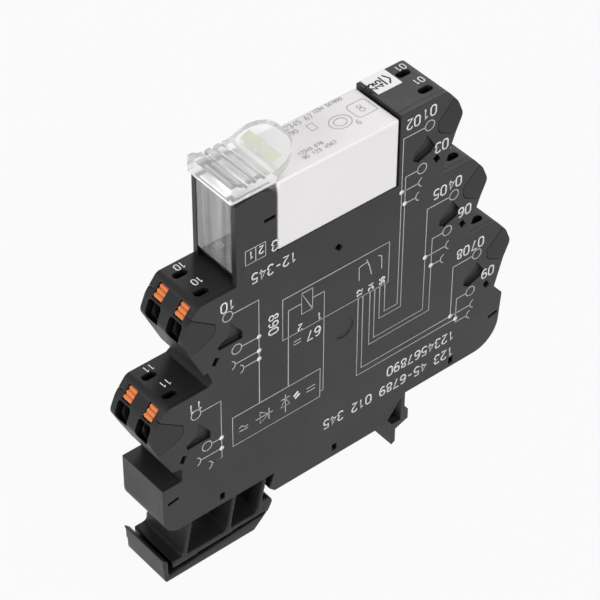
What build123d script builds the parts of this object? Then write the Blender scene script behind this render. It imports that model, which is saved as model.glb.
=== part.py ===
"""Interface relay module for a 35 mm top-hat rail.

+Z points up out of the rail, +X runs along the module towards the contact
terminals, and Y is the narrow width. The origin is the middle of the rail seat.
All sizes are in millimetres.
"""

import os
from math import atan2, cos, degrees, radians, sin

from build123d import *

os.makedirs("parts", exist_ok=True)

# Housing: a tray with a far wall and a rim, closed by a cover on the near side
body_width = 12.8
side_wall = 1.2
rim_wall = 1.3
half_width = body_width / 2
inner_half = half_width - side_wall
seam = 0.12

# Rail and its seat
rail_width = 35.0
rail_sheet = 1.0
rail_play = 0.15
rail_edge = rail_width / 2
seat_left = -16.9
seat_right = 13.3
seat_lead = 1.3
base_bottom = 5.0
base_left = -42.9
base_right = 44.4
base_top_left = 17.5
base_top_right = 18.9
base_step = 1.0
base_round_left = 4.0
base_round_right = 6.5

# Terminal tiers: the top corner of the lowest and the pitch between tiers
contact_corner_x = 41.5
contact_corner_z = 39.3
contact_pitch_x = -7.65
contact_pitch_z = 20.0
coil_corner_x = -41.0
coil_corner_z = 38.1
coil_pitch_x = 8.0
coil_pitch_z = 21.0

# Nose of a tier, measured outwards and downwards from its top corner
shoulder_out = 2.75
shoulder_down = 3.45
tip_out = 4.2
tip_down = 7.0
lip_out = 2.6
lip_down = 10.5
root_out = -0.5
root_down = 17.2
root_step = 0.4
under_cut = 0.8
tip_round = 2.2
shoulder_round = 5.0
corner_round = 1.6

# Wire entries and their clamps
entry_down = 5.7
entry_y = 3.15
mouth_width = 3.8
mouth_height = 4.2
mouth_round = 0.8
mouth_depth = 2.0
funnel_radius = 1.85
funnel_depth = 0.8
wire_radius = 1.45
throat_length = 1.6
chamber_width = 3.2
chamber_low = 2.0
chamber_high = 1.6
loft_depth = 6.4
block_depth = 7.5
block_top_wall = 0.9
block_under = 8.7

# Cheeks: the parts of a terminal block that show on the module's sides
cheek_start = 2.35
cheek_foot_out = 1.2
cheek_foot_down = 10.4
cheek_reach_contact = 2.1
cheek_reach_coil = 3.4
cheek_low = 8.6
cheek_high = 6.2
cheek_round = 1.9
cheek_tip_round = 0.4

# Orange pushers
pusher_width = 2.4
pusher_height = 3.0
pusher_above = 4.15
pusher_sunk = 0.65
pusher_foot = 0.7
pusher_foot_width = 3.0
pusher_foot_cut = 0.6
pusher_gap = 0.12
pusher_proud = 0.35
pusher_clear = 1.5
rib_height = 0.3
rib_width = 0.45
rib_pitch = 0.95

# Test holes in the tier tops
test_in = 2.9
test_length = 3.2
test_width = 1.7
test_depth = 2.4

# Copper bars and clamp springs
bar_sheet = 0.7
bar_width = 2.4
spring_sheet = 0.35
spring_width = 2.4

# Relay well, relay and socket
relay_x = -0.2
relay_length = 29.0
well_gap = 0.3
well_floor = 62.7
relay_width = 12.6
relay_height = 15.7
relay_wall = 0.8
relay_play = 0.15
pin_sheet = 0.5
pin_width = 1.0
pin_length = 3.6
pin_row = 7.5
socket_depth = 5.4
socket_half = 12.4
contact_sheet = 0.3

# Circuit board
board_sheet = 1.6
board_left = -24.0
board_right = 21.5
board_gap = 0.15
board_drop = 10.6
board_rib = 1.0
board_rib_reach = 0.7

# Ejector lever
tongue_length = 9.4
tongue_top = 78.6
tongue_fall_left = 0.6
tongue_fall_right = 0.9
tongue_round = 2.8
tongue_crest_round = 8.0
lever_wall = 1.1
lever_play = 0.2
pivot_radius = 1.2
pivot_play = 0.05
head_overhang = 0.9
head_top = 81.7
head_crest = 82.5
head_gap = 0.2
tab_reach = 6.4
tab_rise = 84.5
tab_sheet = 1.3
tab_round = 5.2
groove_width = 0.7
groove_depth = 0.6
groove_count = 3
groove_start = 3.6
groove_pitch = 2.0
toe_reach = 2.1
toe_half = 2.6
toe_sheet = 1.1

# Rail foot
foot_bottom = -8.2
foot_left = -43.6
foot_plate = 1.4
foot_top = -3.6
foot_web = 0.9
foot_travel = 2.0
foot_gap = 0.1
nose_reach = 1.6
neck_half = 3.0
claw_half = 4.6
claw_height = 1.0
leg_feet = [-38.1, -27.2, -19.6]
leg_lean = 1.7
leg_play = 0.15
leg_root = 0.3

# Hook for the other edge of the rail
hook_arm = 1.0
hook_lip = 2.1
hook_tip = -7.0

# Snap windows in the cover: middle and turn, all of one size, and two long slots
window_size = (1.2, 1.8)
windows = [(-29.6, 43.6, -30), (-37.8, 23.0, -30), (-28.7, 7.1, 0), (-0.2, 2.4, 0)]
windows += [(30.9, 7.8, 0), (0.0, 55.4, 45), (24.1, 64.4, 30), (31.9, 44.0, 30)]
windows += [(39.7, 23.7, 30)]
slot_size = (2.6, 0.8)
slots = [(-40.5, 13.4, 10), (42.2, 14.0, 10), (-16.6, 71.3, 0)]
pocket_depth = 0.85
pocket_coil = [(-7.0, 7.8), (-9.8, 11.5), (-9.8, 13.2), (-4.2, 13.2), (-4.0, 12.1), (-6.4, 10.8)]
pocket_contact = [(-4.8, 8.0), (-2.6, 11.3), (-3.6, 12.4), (-6.8, 13.5), (-8.3, 12.4), (-7.9, 10.6)]
dimple_depth = 0.2
dimple_radius = 2.4
dimple_x = 1.6
dimple_z = 33.8

# Marker plate on the top tier and the status lamp
marker_length = 5.8
marker_width = 5.2
marker_sheet = 0.5
marker_recess = 0.3
marker_inset = 0.9
marker_y = 3.7
lamp_radius = 1.45
lamp_height = 4.6
lamp_round = 1.1

SIDE = Plane.XZ


def side_plane(y):
    """Plane across the width at y, drawn in X and Z."""
    return SIDE.offset(-y)


def polygon(points):
    """Closed face in the X-Z plane; a third number rounds that corner."""
    with BuildSketch(SIDE) as face:
        with BuildLine():
            Polyline(*[point[:2] for point in points], close=True)
        make_face()
        for x, z, radius in [point for point in points if len(point) > 2]:
            fillet(face.vertices().sort_by_distance((x, z, 0))[0], radius)
    return face.sketch


# The wire goes in square to the flat of the nose
wire_tilt = degrees(atan2(tip_out - shoulder_out, tip_down - shoulder_down))
entry_share = (entry_down - shoulder_down) / (tip_down - shoulder_down)
entry_out = shoulder_out + (tip_out - shoulder_out) * entry_share


class Tier:
    """One terminal tier: which way it faces and where its top corner is."""

    def __init__(self, name, side, x, z):
        self.name = name
        self.side = side
        self.x = x
        self.z = z

    def point(self, out, down):
        """Point given outwards and downwards from the top corner."""
        return (self.x + self.side * out, self.z - down)

    def entry_plane(self, depth=0.0, above=0.0, y=0.0):
        """Plane square to the wire, sunk by depth and raised above the wire axis."""
        tilt = radians(wire_tilt)
        out = entry_out - depth * cos(tilt) - above * sin(tilt)
        down = entry_down + depth * sin(tilt) - above * cos(tilt)
        x, z = self.point(out, down)
        return Plane(
            origin=(x, y, z),
            x_dir=(0, self.side, 0),
            z_dir=(self.side * cos(tilt), 0, sin(tilt)),
        )

    def along(self, depth, above):
        """X and Z of a point in the wire's own directions."""
        origin = self.entry_plane(depth, above).origin
        return (origin.X, origin.Z)


contact_tiers = []
for row, tier_name in enumerate(("nc", "com", "no")):
    contact_tiers.append(
        Tier(
            tier_name,
            1,
            contact_corner_x + row * contact_pitch_x,
            contact_corner_z + row * contact_pitch_z,
        )
    )
coil_tiers = []
for row, tier_name in enumerate(("a2", "a1")):
    coil_tiers.append(
        Tier(
            tier_name,
            -1,
            coil_corner_x + row * coil_pitch_x,
            coil_corner_z + row * coil_pitch_z,
        )
    )
nc, com, no = contact_tiers
a2, a1 = coil_tiers
tiers = [a1, a2, no, com, nc]

nose = [(lip_out, lip_down, 0), (tip_out, tip_down, tip_round)]
nose += [(shoulder_out, shoulder_down, shoulder_round), (0, 0, corner_round)]


def corner(tier, out, down, radius):
    """Corner of the side view given from the tier, with its rounding if it has one."""
    if radius:
        return (*tier.point(out, down), radius)
    return tier.point(out, down)


# Places of the well and the lever, worked out from the relay
well_left = relay_x - relay_length / 2 - well_gap
well_right = relay_x + relay_length / 2 + well_gap
tongue_left = well_left - tongue_length
tongue_middle = (tongue_left + well_left) / 2

# Hook that grips the rail edge on the contact side
hook_inner = rail_edge + rail_play
hook_outer = hook_inner + hook_arm
lip_top = -rail_sheet - rail_play
lip_left = rail_edge - hook_lip


def housing_outline(with_tongue):
    """Side view of the housing, with or without the walls beside the lever."""
    points = [(seat_left, seat_lead), (seat_left + seat_lead, 0), (seat_right, 0)]
    points += [(hook_inner - 0.3, base_bottom)]
    points += [(hook_inner, base_bottom), (hook_inner, lip_top), (lip_left, lip_top)]
    points += [(lip_left, hook_tip), (lip_left + 0.9, hook_tip + 0.6)]
    points += [(lip_left + 0.9, lip_top - 1.8), (hook_outer + 1.0, lip_top - 0.6)]
    points += [(hook_outer + 1.0, 0.8), (hook_outer, 2.1), (hook_outer, base_bottom + base_step)]
    points += [(base_right - base_step, base_bottom + base_step, base_round_right)]
    points += [(base_right, base_top_right)]
    for tier in contact_tiers:
        if tier is nc:
            points.append(tier.point(-root_out, root_down + root_step))
        else:
            points.append(tier.point(-under_cut, contact_pitch_z))
        points += [corner(tier, *place) for place in nose]
    points.append((well_right, no.z))
    points.append((well_right, well_floor))
    points.append((well_left, well_floor))
    if with_tongue:
        points.append((well_left, tongue_top - tongue_fall_right, tongue_round))
        points.append((tongue_middle, tongue_top, tongue_crest_round))
        points.append((tongue_left, tongue_top - tongue_fall_left))
        points.append((tongue_left, a1.z))
    else:
        points.append((well_left, a1.z))
    for tier in reversed(coil_tiers):
        points += [corner(tier, *place) for place in reversed(nose)]
        if tier is a1:
            points.append(tier.point(root_out, root_down))
            points.append((tier.x + 1.5, tier.z - root_down))
            points.append((tier.x + 2.6, a2.z + 0.8))
            points.append((tier.x + 1.4, a2.z))
        else:
            points.append(tier.point(root_out, root_down - 0.4))
    points.append((a2.x + 2.8, a2.z - root_down))
    points.append((a2.x + 2.8, base_top_left))
    points.append((base_left, base_top_left))
    points.append((base_left, base_bottom, base_round_left))
    points.append((seat_left + seat_lead, base_bottom))
    return points


def cheek_face(tier, gap=0.0):
    """Part of the terminal block that shows on the module's side, with a gap round it."""
    reach = cheek_reach_contact if tier.side > 0 else cheek_reach_coil
    start = cheek_start - gap
    points = [(start * shoulder_out / shoulder_down, start, 0)]
    points += [(shoulder_out, shoulder_down, shoulder_round), (tip_out, tip_down, tip_round)]
    points += [(lip_out, lip_down, 0), (cheek_foot_out, cheek_foot_down + gap, 0)]
    points += [(-reach - gap, cheek_low + gap, cheek_round)]
    points += [(-reach - gap, cheek_high - gap, cheek_tip_round)]
    return polygon([corner(tier, *place) for place in points])


def block_face(tier):
    """Part of the terminal block between the side walls."""
    slope = shoulder_out / shoulder_down
    under = (block_under - tip_down) / (lip_down - tip_down)
    points = [(-block_depth, block_top_wall, 0), (block_top_wall * slope, block_top_wall, 0)]
    points += [(shoulder_out, shoulder_down, shoulder_round), (tip_out, tip_down, tip_round)]
    points += [(tip_out + (lip_out - tip_out) * under, block_under, 0)]
    points += [(-5.5, 12.2, 0), (-block_depth, 8.0, 0)]
    return polygon([corner(tier, *place) for place in points])


core_face = polygon(housing_outline(False))
full_face = polygon(housing_outline(True))
cavity_face = offset(core_face, amount=-rim_wall, kind=Kind.INTERSECTION)

# Places worked out from the sizes above
relay_floor = well_floor + relay_play
socket_bottom = well_floor - socket_depth
board_top = well_floor - board_drop
board_bottom = board_top - board_sheet
board_middle = (board_left + board_right) / 2
lamp_x = tongue_middle
pivot_x = tongue_left + 2.5
pivot_z = a1.z + 2.6
pusher_slot_width = pusher_width + 2 * pusher_gap
pusher_slot_height = pusher_height + 2 * pusher_gap
loft_high = pusher_above + pusher_slot_height / 2
marker_x = well_right + marker_inset + marker_length / 2


def board_rails(y_from, y_to):
    """Two ribs that hold an edge of the circuit board."""
    with BuildSketch(side_plane(y_from)) as ribs:
        for z in (board_bottom - board_gap - board_rib / 2, board_top + board_gap + board_rib / 2):
            with Locations((board_middle, z)):
                Rectangle(board_right - board_left, board_rib)
    return ribs.sketch


# Legs of the foot: they lean from their feet to their heads under the base
leg_low = foot_top - leg_root
leg_high = base_bottom - leg_play
leg_heads = [x + leg_lean for x in leg_feet]
claws = leg_heads[1:]
claw_bottom = base_bottom + rim_wall + leg_play

# Housing shell: far side wall, rim, board ribs and hook, moulded in one
with BuildPart() as housing_shell:
    extrude(full_face.moved(Location((0, half_width, 0))), amount=side_wall)
    extrude(core_face, amount=inner_half, both=True)
    extrude(cavity_face, amount=inner_half, both=True, mode=Mode.SUBTRACT)
    extrude(board_rails(inner_half, inner_half - board_rib_reach), amount=board_rib_reach)
    for tier in tiers:
        extrude(cheek_face(tier, seam), amount=half_width, both=True, mode=Mode.SUBTRACT)
        extrude(block_face(tier), amount=inner_half, both=True, mode=Mode.SUBTRACT)
        x, z = tier.point(-test_in, 0)
        with BuildSketch(Plane.XY.offset(z)):
            with Locations((x, -entry_y), (x, entry_y)):
                SlotOverall(test_length, test_width)
        extrude(amount=-test_depth, mode=Mode.SUBTRACT)
        with BuildSketch(tier.entry_plane(-pusher_clear, pusher_above)):
            with Locations((-entry_y, 0), (entry_y, 0)):
                Rectangle(pusher_slot_width, pusher_slot_height)
        extrude(amount=-pusher_clear - loft_depth, mode=Mode.SUBTRACT)
    with BuildSketch(Plane.XY.offset(well_floor)):
        with Locations((relay_x, 0)):
            Rectangle(2 * socket_half, 2 * inner_half)
    extrude(amount=-rim_wall, mode=Mode.SUBTRACT)
    with BuildSketch(Plane.XY.offset(well_floor)):
        with Locations(((well_left + relay_x - socket_half) / 2, 0)):
            Rectangle(relay_x - socket_half - well_left, 2 * (toe_half + lever_play))
    extrude(amount=-toe_sheet - 3 * lever_play, mode=Mode.SUBTRACT)
    with BuildSketch(Plane.XY.offset(a1.z)):
        with Locations((lamp_x, 0)):
            Circle(lamp_radius + lever_play)
    extrude(amount=-rim_wall, mode=Mode.SUBTRACT)
    with BuildSketch(side_plane(inner_half)):
        with Locations((pivot_x, pivot_z)):
            Circle(pivot_radius + pivot_play)
    extrude(amount=-side_wall, mode=Mode.SUBTRACT)
    with BuildSketch(Plane.XY.offset(base_bottom)):
        for x in claws:
            with Locations((x - foot_travel / 2, 0)):
                Rectangle(foot_travel + foot_web + 4 * leg_play, 2 * (neck_half + leg_play))
    extrude(amount=rim_wall, mode=Mode.SUBTRACT)
    with BuildSketch(Plane.XY.offset(no.z)):
        with Locations((marker_x, marker_y)):
            Rectangle(marker_length, marker_width)
    extrude(amount=-marker_recess, mode=Mode.SUBTRACT)
housing_shell.part.label = "housing_shell"
export_step(housing_shell.part, "parts/housing_shell.step")

# Side cover: the near wall, snapped on, with windows for its latches
with BuildPart() as side_cover:
    extrude(full_face.moved(Location((0, -inner_half, 0))), amount=side_wall)
    extrude(board_rails(-inner_half, board_rib_reach - inner_half), amount=-board_rib_reach)
    for tier in tiers:
        extrude(cheek_face(tier, seam), amount=half_width, both=True, mode=Mode.SUBTRACT)
    with BuildSketch(side_plane(-half_width)):
        for x, z, turn in windows:
            with Locations(Location((x, z), turn)):
                Rectangle(*window_size)
        for x, z, turn in slots:
            with Locations(Location((x, z), turn)):
                Rectangle(*slot_size)
        with Locations((pivot_x, pivot_z)):
            Circle(pivot_radius + pivot_play)
    extrude(amount=-side_wall, mode=Mode.SUBTRACT)
    for tier in tiers:
        corners = pocket_contact if tier.side > 0 else pocket_coil
        pocket = polygon([tier.point(out, down) for out, down in corners])
        pocket = pocket.moved(Location((0, -half_width, 0)))
        extrude(pocket, amount=-pocket_depth, mode=Mode.SUBTRACT)
    with BuildSketch(side_plane(-half_width)):
        with Locations((dimple_x, dimple_z)):
            Circle(dimple_radius)
    extrude(amount=-dimple_depth, mode=Mode.SUBTRACT)
side_cover.part.label = "side_cover"
export_step(side_cover.part, "parts/side_cover.step")

# Terminal blocks: nose piece with two wire entries, pusher guides and test holes
funnel_end = mouth_depth + funnel_depth
throat_end = funnel_end + throat_length
back_depth = (entry_out + block_depth) / cos(radians(wire_tilt)) + 1.0
loft_middle = (loft_high - chamber_low) / 2
chamber_middle = (chamber_high - chamber_low) / 2

for tier in tiers:
    with BuildPart() as terminal_block:
        extrude(cheek_face(tier), amount=half_width, both=True)
        extrude(block_face(tier), amount=inner_half, both=True)
        for y in (-entry_y, entry_y):
            with BuildSketch(tier.entry_plane(-pusher_clear, 0, y)):
                RectangleRounded(mouth_width, mouth_height, mouth_round)
            extrude(amount=-pusher_clear - mouth_depth, mode=Mode.SUBTRACT)
            with BuildSketch(tier.entry_plane(mouth_depth, 0, y)):
                Circle(funnel_radius)
            with BuildSketch(tier.entry_plane(funnel_end, 0, y)):
                Circle(wire_radius)
            loft(mode=Mode.SUBTRACT)
            with BuildSketch(tier.entry_plane(mouth_depth, 0, y)):
                Circle(wire_radius)
            extrude(amount=mouth_depth - throat_end, mode=Mode.SUBTRACT)
            with BuildSketch(tier.entry_plane(throat_end, chamber_middle, y)):
                Rectangle(chamber_width, chamber_high + chamber_low)
            extrude(amount=throat_end - back_depth, mode=Mode.SUBTRACT)
            with BuildSketch(tier.entry_plane(loft_depth, loft_middle, y)):
                Rectangle(chamber_width, loft_high + chamber_low)
            extrude(amount=loft_depth - back_depth, mode=Mode.SUBTRACT)
            with BuildSketch(tier.entry_plane(-pusher_clear, pusher_above, y)):
                Rectangle(pusher_slot_width, pusher_slot_height)
            extrude(amount=-pusher_clear - loft_depth, mode=Mode.SUBTRACT)
            x, z = tier.point(-test_in, 0)
            with BuildSketch(Plane.XY.offset(z)):
                with Locations((x, y)):
                    SlotOverall(test_length, test_width)
            extrude(amount=-test_depth, mode=Mode.SUBTRACT)
    name = tier.name + "_terminal_block"
    terminal_block.part.label = name
    export_step(terminal_block.part, "parts/" + name + ".step")

# Copper bars: flat strip from under each wire to its place in the board
strap_x = {"no": 17.6, "nc": 18.8, "com": 20.3, "a1": -22.2, "a2": -20.9}
strap_top = board_top + 1.0
strap_drop = {"nc": 16.5, "com": 3.5, "a1": 4.0, "a2": 18.5}
strap_rise = 5.9
strap_turn = {name: board_bottom - drop for name, drop in strap_drop.items()}
strap_turn["no"] = board_top + strap_rise
bar_above = bar_sheet / 2 - chamber_low

for tier in tiers:
    start = tier.along(throat_end + 0.3, bar_above)
    end = tier.along(back_depth - 0.6, bar_above)
    x = strap_x[tier.name]
    with BuildPart() as current_bar:
        for y in (-entry_y, entry_y):
            with BuildSketch(side_plane(y - bar_width / 2)):
                with BuildLine():
                    Polyline(start, end, (x, strap_turn[tier.name]), (x, strap_top))
                trace(line_width=bar_sheet)
            extrude(amount=-bar_width)
    name = tier.name + "_current_bars"
    current_bar.part.label = name
    export_step(current_bar.part, "parts/" + name + ".step")

# Clamp springs: bent strip that presses the wire on the bar
spring_top = loft_high - spring_sheet / 2
spring_low = bar_sheet - chamber_low + spring_sheet / 2
spring_heel = 9.0
spring_belly = spring_heel + 2.2

for tier in tiers:
    bend = [tier.along(spring_heel, spring_low), tier.along(spring_belly, 3.6)]
    bend += [tier.along(spring_heel + 1.4, spring_top)]
    bend += [tier.along(spring_heel + 0.2, spring_top - 0.5), tier.along(spring_heel, 3.4)]
    with BuildPart() as clamp_spring:
        for y in (-entry_y, entry_y):
            with BuildSketch(side_plane(y - spring_width / 2)):
                with BuildLine():
                    Polyline(*bend)
                trace(line_width=spring_sheet)
            extrude(amount=-spring_width)
    name = tier.name + "_clamp_springs"
    clamp_spring.part.label = name
    export_step(clamp_spring.part, "parts/" + name + ".step")

# Pushers: ribbed head, stem and a foot that keeps each one in its guide
pusher_start = pusher_sunk - pusher_proud
pusher_end = loft_depth + pusher_gap / 2

for tier in tiers:
    for side_name, y in (("near", -entry_y), ("far", entry_y)):
        with BuildPart() as pusher:
            with BuildSketch(tier.entry_plane(pusher_start, pusher_above, y)):
                Rectangle(pusher_width, pusher_height)
            extrude(amount=pusher_start - pusher_end)
            foot_above = pusher_above - pusher_foot_cut / 2
            with BuildSketch(tier.entry_plane(pusher_end, foot_above, y)):
                Rectangle(pusher_foot_width, pusher_height - pusher_foot_cut)
            extrude(amount=-pusher_foot)
            for step in (-1, 0, 1):
                above = pusher_above + step * rib_pitch
                with BuildSketch(tier.entry_plane(pusher_start, above, y)):
                    Rectangle(pusher_width, rib_width)
                extrude(amount=rib_height)
        name = tier.name + "_pusher_" + side_name
        pusher.part.label = name
        export_step(pusher.part, "parts/" + name + ".step")

# Relay: case, base and blades
pin_places = [-11.0, -1.0, 4.0, 9.0]

with BuildPart() as relay_case:
    with BuildSketch(Plane.XY.offset(relay_floor)):
        with Locations((relay_x, 0)):
            RectangleRounded(relay_length, relay_width, 0.5)
    extrude(amount=relay_height)
    fillet(relay_case.faces().sort_by(Axis.Z)[-1].edges(), 0.4)
    with BuildSketch(Plane.XY.offset(relay_floor)):
        with Locations((relay_x, 0)):
            Rectangle(relay_length - 2 * relay_wall, relay_width - 2 * relay_wall)
    extrude(amount=relay_height - relay_wall, mode=Mode.SUBTRACT)
relay_case.part.label = "relay_case"
export_step(relay_case.part, "parts/relay_case.step")

with BuildPart() as relay_base:
    with BuildSketch(Plane.XY.offset(relay_floor)):
        with Locations((relay_x, 0)):
            Rectangle(relay_length - 2 * relay_wall, relay_width - 2 * relay_wall)
    extrude(amount=2.0)
    with BuildSketch(Plane.XY.offset(relay_floor)):
        for x in pin_places:
            with Locations((relay_x + x, -pin_row / 2), (relay_x + x, pin_row / 2)):
                Rectangle(pin_width, pin_sheet)
    extrude(amount=2.0, mode=Mode.SUBTRACT)
relay_base.part.label = "relay_base"
export_step(relay_base.part, "parts/relay_base.step")

with BuildPart() as relay_blades:
    with BuildSketch(Plane.XY.offset(relay_floor - pin_length)):
        for x in pin_places:
            with Locations((relay_x + x, -pin_row / 2), (relay_x + x, pin_row / 2)):
                Rectangle(pin_width, pin_sheet)
    extrude(amount=pin_length + 2.0)
relay_blades.part.label = "relay_blades"
export_step(relay_blades.part, "parts/relay_blades.step")

# Relay socket: insulating block in the floor of the well, and its contacts
sleeve_length = pin_width + 2 * (pivot_play + contact_sheet)
sleeve_width = pin_sheet + 2 * (pivot_play + contact_sheet)

with BuildPart() as relay_socket:
    with BuildSketch(Plane.XY.offset(well_floor)):
        with Locations((relay_x, 0)):
            Rectangle(2 * socket_half, 2 * inner_half)
    extrude(amount=-socket_depth)
    with BuildSketch(Plane.XY.offset(well_floor)):
        for x in pin_places:
            with Locations((relay_x + x, -pin_row / 2), (relay_x + x, pin_row / 2)):
                Rectangle(sleeve_length, sleeve_width)
    extrude(amount=-socket_depth, mode=Mode.SUBTRACT)
relay_socket.part.label = "relay_socket"
export_step(relay_socket.part, "parts/relay_socket.step")

with BuildPart() as socket_contacts:
    with BuildSketch(Plane.XY.offset(socket_bottom)):
        for x in pin_places:
            with Locations((relay_x + x, -pin_row / 2), (relay_x + x, pin_row / 2)):
                Rectangle(sleeve_length, sleeve_width)
    extrude(amount=socket_depth - 0.4)
    with BuildSketch(Plane.XY.offset(socket_bottom + 0.4)):
        for x in pin_places:
            with Locations((relay_x + x, -pin_row / 2), (relay_x + x, pin_row / 2)):
                Rectangle(pin_width + 2 * pivot_play, pin_sheet + 2 * pivot_play)
    extrude(amount=socket_depth, mode=Mode.SUBTRACT)
    with BuildSketch(Plane.XY.offset(board_bottom - 0.8)):
        for x in pin_places:
            with Locations((relay_x + x, -pin_row / 2), (relay_x + x, pin_row / 2)):
                Rectangle(pin_width, pin_sheet)
    extrude(amount=socket_bottom - board_bottom + 0.8)
socket_contacts.part.label = "socket_contacts"
export_step(socket_contacts.part, "parts/socket_contacts.step")

# Circuit board, held in ribs on both side walls
with BuildPart() as circuit_board:
    with BuildSketch(Plane.XY.offset(board_bottom)):
        with Locations(((board_left + board_right) / 2, 0)):
            Rectangle(board_right - board_left, 2 * inner_half - 2 * board_gap)
    extrude(amount=board_sheet)
    with BuildSketch(Plane.XY.offset(board_bottom)):
        for x in pin_places:
            with Locations((relay_x + x, -pin_row / 2), (relay_x + x, pin_row / 2)):
                Rectangle(pin_width, pin_sheet)
        for x in strap_x.values():
            with Locations((x, -entry_y), (x, entry_y)):
                Rectangle(bar_sheet, bar_width)
    extrude(amount=board_sheet, mode=Mode.SUBTRACT)
circuit_board.part.label = "circuit_board"
export_step(circuit_board.part, "parts/circuit_board.step")

rectifier_x = board_left + 7.6
underside_parts = [(-15.0, 3.6, 2.6), (-6.0, 3.6, 2.6), (1.5, 3.6, 2.6), (9.8, 2.4, 1.2)]

with BuildPart() as board_parts:
    with BuildSketch(Plane.XY.offset(board_top)):
        with Locations((rectifier_x, 2.4)):
            Rectangle(3.2, 3.6)
        with Locations((rectifier_x, -2.6)):
            Rectangle(2.4, 1.4)
    extrude(amount=1.4)
    with BuildSketch(Plane.XY.offset(board_bottom)):
        for x, length, width in underside_parts:
            with Locations((x, 0)):
                Rectangle(length, width)
    extrude(amount=-1.3)
board_parts.part.label = "board_parts"
export_step(board_parts.part, "parts/board_parts.step")

with BuildPart() as status_lamp:
    with BuildSketch(Plane.XY.offset(board_top)):
        with Locations((lamp_x, 0)):
            Circle(lamp_radius)
    extrude(amount=lamp_height)
    chamfer(status_lamp.faces().sort_by(Axis.Z)[-1].edges(), lamp_round / 2)
status_lamp.part.label = "status_lamp"
export_step(status_lamp.part, "parts/status_lamp.step")

with BuildPart() as marker_plate:
    with BuildSketch(Plane.XY.offset(no.z - marker_recess)):
        with Locations((marker_x, marker_y)):
            Rectangle(marker_length, marker_width)
    extrude(amount=marker_sheet)
marker_plate.part.label = "marker_plate"
export_step(marker_plate.part, "parts/marker_plate.step")

# Ejector lever: clear moulding with a column, a grip head and a toe under the relay
lever_play_side = lever_play + 0.05
web_right = well_left - 1.0
column_half = inner_half - lever_play_side
column_bottom = a1.z + lever_play_side
head_bottom = tongue_top + lever_play_side
head_left = tongue_left - head_overhang
head_right = well_left - head_gap
head_half = half_width - foot_gap
toe_top = well_floor - lever_play_side
toe_bottom = toe_top - toe_sheet
lever_foot = (pivot_z - column_bottom) * 0.7
inner_length = web_right - tongue_left - lever_wall

head_points = [(head_left, head_bottom), (head_left, head_crest)]
head_points += [(head_left + 1.2, head_crest), (head_left + 2.6, head_top)]
head_points += [(head_right, head_top), (well_left + tab_reach, tab_rise)]
head_points += [(well_left + tab_reach, tab_rise - tab_sheet)]
head_points += [(head_right + 0.6, head_top - tab_sheet - 0.6), (head_right, head_bottom)]
web_points = [(tongue_left, head_bottom), (tongue_left, pivot_z)]
web_points += [(pivot_x - lever_foot, pivot_z - lever_foot), (pivot_x, column_bottom)]
web_points += [(web_right, column_bottom), (web_right, head_bottom)]

with BuildPart() as ejector_lever:
    extrude(polygon(web_points), amount=column_half, both=True)
    with BuildSketch(Plane.XY.offset(toe_top)):
        with Locations((web_right - inner_length / 2 + 0.4, 0)):
            Rectangle(inner_length + 0.8, 2 * (column_half - lever_wall))
    extrude(amount=head_bottom - toe_top, mode=Mode.SUBTRACT)
    extrude(polygon(head_points), amount=head_half, both=True)
    with BuildSketch(Plane.XY.offset(column_bottom)) as plan:
        with Locations(((head_left + well_left + tab_reach) / 2, 0)):
            Rectangle(well_left + tab_reach - head_left, 2 * head_half)
        fillet(plan.vertices().group_by(Axis.X)[-1], tab_round)
    extrude(amount=tab_rise - column_bottom, mode=Mode.INTERSECT)
    with BuildSketch(Plane.XY.offset(toe_bottom)):
        with Locations(((web_right - 2 + well_left + toe_reach) / 2, 0)):
            Rectangle(well_left + toe_reach - web_right + 2, 2 * toe_half)
    extrude(amount=toe_top - toe_bottom)
    for count in range(groove_count):
        x = head_left + groove_start + count * groove_pitch
        with BuildSketch(Plane.XY.offset(head_top)):
            with Locations((x, 0)):
                Rectangle(groove_width, 2 * head_half)
        extrude(amount=-groove_depth, mode=Mode.SUBTRACT)
    with BuildSketch(side_plane(-half_width)):
        with Locations((pivot_x, pivot_z)):
            Circle(pivot_radius)
    extrude(amount=-2 * half_width)
ejector_lever.part.label = "ejector_lever"
export_step(ejector_lever.part, "parts/ejector_lever.step")

# Rail foot: slides outwards to let go of the rail, carried on its leaning legs
nose_tip = -rail_edge + nose_reach
nose_top = -rail_sheet - rail_play
plate_top = foot_bottom + foot_plate
upright = foot_left + foot_plate

foot_points = [(foot_left + 0.7, foot_bottom), (nose_tip - 4.9, foot_bottom)]
foot_points += [(nose_tip - 1.2, foot_bottom + 3.4), (nose_tip, nose_top - 1.4)]
foot_points += [(nose_tip - 1.0, nose_top), (nose_tip - 2.2, nose_top)]
foot_points += [(nose_tip - 2.6, foot_top), (upright + 1.0, foot_top)]
foot_points += [(upright + 1.0, foot_bottom + 2.9), (nose_tip - 1.6, foot_bottom + 3.7)]
foot_points += [(nose_tip - 2.0, foot_bottom + 2.9), (upright, plate_top)]
foot_points += [(upright, -2.8), (foot_left, -1.4)]

with BuildPart() as rail_foot:
    extrude(polygon(foot_points), amount=half_width - foot_gap, both=True)
    for low, high in zip(leg_feet, leg_heads):
        leg = [(low - foot_web / 2, leg_low), (low + foot_web / 2, leg_low)]
        leg += [(high + foot_web / 2, leg_high), (high - foot_web / 2, leg_high)]
        extrude(polygon(leg), amount=half_width - foot_gap, both=True)
    for x in claws:
        with BuildSketch(Plane.XY.offset(leg_high)):
            with Locations((x, 0)):
                Rectangle(foot_web, 2 * neck_half)
        extrude(amount=claw_bottom - leg_high)
        with BuildSketch(Plane.XY.offset(claw_bottom)):
            with Locations((x, 0)):
                Rectangle(foot_web + claw_height, 2 * claw_half)
        extrude(amount=claw_height)
rail_foot.part.label = "rail_foot"
export_step(rail_foot.part, "parts/rail_foot.step")
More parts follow.
